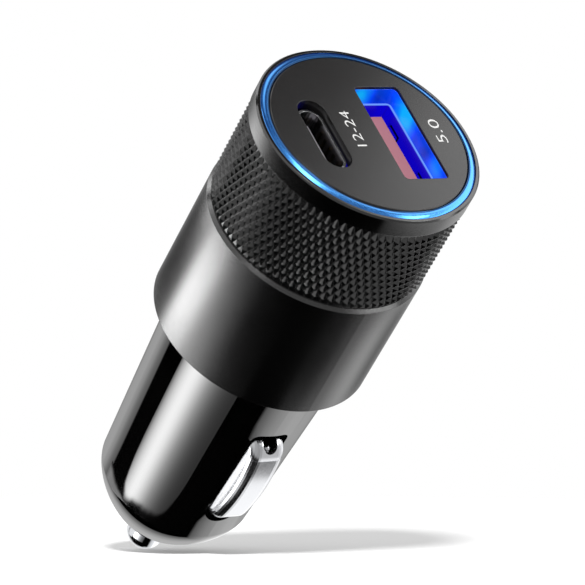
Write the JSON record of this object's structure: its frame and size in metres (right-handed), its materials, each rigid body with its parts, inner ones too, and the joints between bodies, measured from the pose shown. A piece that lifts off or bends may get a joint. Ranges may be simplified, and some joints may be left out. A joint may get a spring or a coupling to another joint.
{
  "type": "car charger plug",
  "caption": "Knurled round charging head with a wide and a narrow port in its ringed face, on a tapered plug with sprung side and centre contacts for a vehicle power socket.",
  "frame": {"origin": "on the plug's axis, in the plane of the head's shoulder that comes to rest on the socket's rim", "axes": "+Z along the axis towards the port face, X along the ports' long sides and through both side contacts, +Y towards the wide port"},
  "size_m": [0.0258, 0.0258, 0.0683],
  "materials": {
    "black_metal": "satin anodised",
    "blue_metal": "polished anodised",
    "charcoal_plastic": "satin",
    "blue_plastic": "gloss",
    "port_steel": "bright",
    "port_plastic": "satin",
    "dark_plastic": "satin",
    "contact_gold": "plated",
    "board": "satin",
    "ferrite": "matt",
    "copper": "enamelled",
    "can_metal": "satin",
    "chip": "matt",
    "led": "clear",
    "nickel": "plated",
    "spring_steel": "bright",
    "contact_steel": "polished",
    "black_plastic": "gloss"
  },
  "bodies": {
    "plug": {"head_shell": "black_metal", "accent_ring": "blue_metal", "face_plate": "charcoal_plastic", "usb_a_surround": "blue_plastic", "usb_a_shell": "port_steel", "usb_a_tongue": "port_plastic", "usb_a_contact_1": "contact_gold", "usb_a_contact_2": "contact_gold", "usb_a_contact_3": "contact_gold", "usb_a_contact_4": "contact_gold", "usb_c_shell": "port_steel", "usb_c_tongue": "dark_plastic", "usb_c_contact_1": "contact_gold", "usb_c_contact_2": "contact_gold", "usb_c_contact_3": "contact_gold", "usb_c_contact_4": "contact_gold", "usb_c_contact_5": "contact_gold", "usb_c_contact_6": "contact_gold", "port_board": "board", "power_board": "board", "inductor_core": "ferrite", "inductor_winding": "copper", "input_capacitor": "can_metal", "output_capacitor": "can_metal", "converter_chip": "chip", "controller_chip": "chip", "input_diode": "chip", "port_led_left": "led", "port_led_right": "led", "positive_terminal": "nickel", "contact_spring": "spring_steel", "plug_body": "black_plastic"},
    "tip": {"centre_contact": "nickel"},
    "left_leaf": {"ground_contact_left": "contact_steel"},
    "right_leaf": {"ground_contact_right": "contact_steel"}
  },
  "joints": [
    {"name": "tip_press", "type": "slide", "parent": "plug", "child": "tip", "axis": [0, 0, 1], "range_m": [0, 0.0025], "stiffness_N_per_m": 1800, "deforming": ["contact_spring"]},
    {"name": "left_leaf_flex", "type": "hinge", "parent": "plug", "child": "left_leaf", "pos_m": [-0.00705, 0, -0.02187], "axis": [0, 1, 0], "range_deg": [0, 6], "stiffness_Nm_per_rad": 0.4},
    {"name": "right_leaf_flex", "type": "hinge", "parent": "plug", "child": "right_leaf", "pos_m": [0.00705, 0, -0.02187], "axis": [0, -1, 0], "range_deg": [0, 6], "stiffness_Nm_per_rad": 0.4}
  ]
}
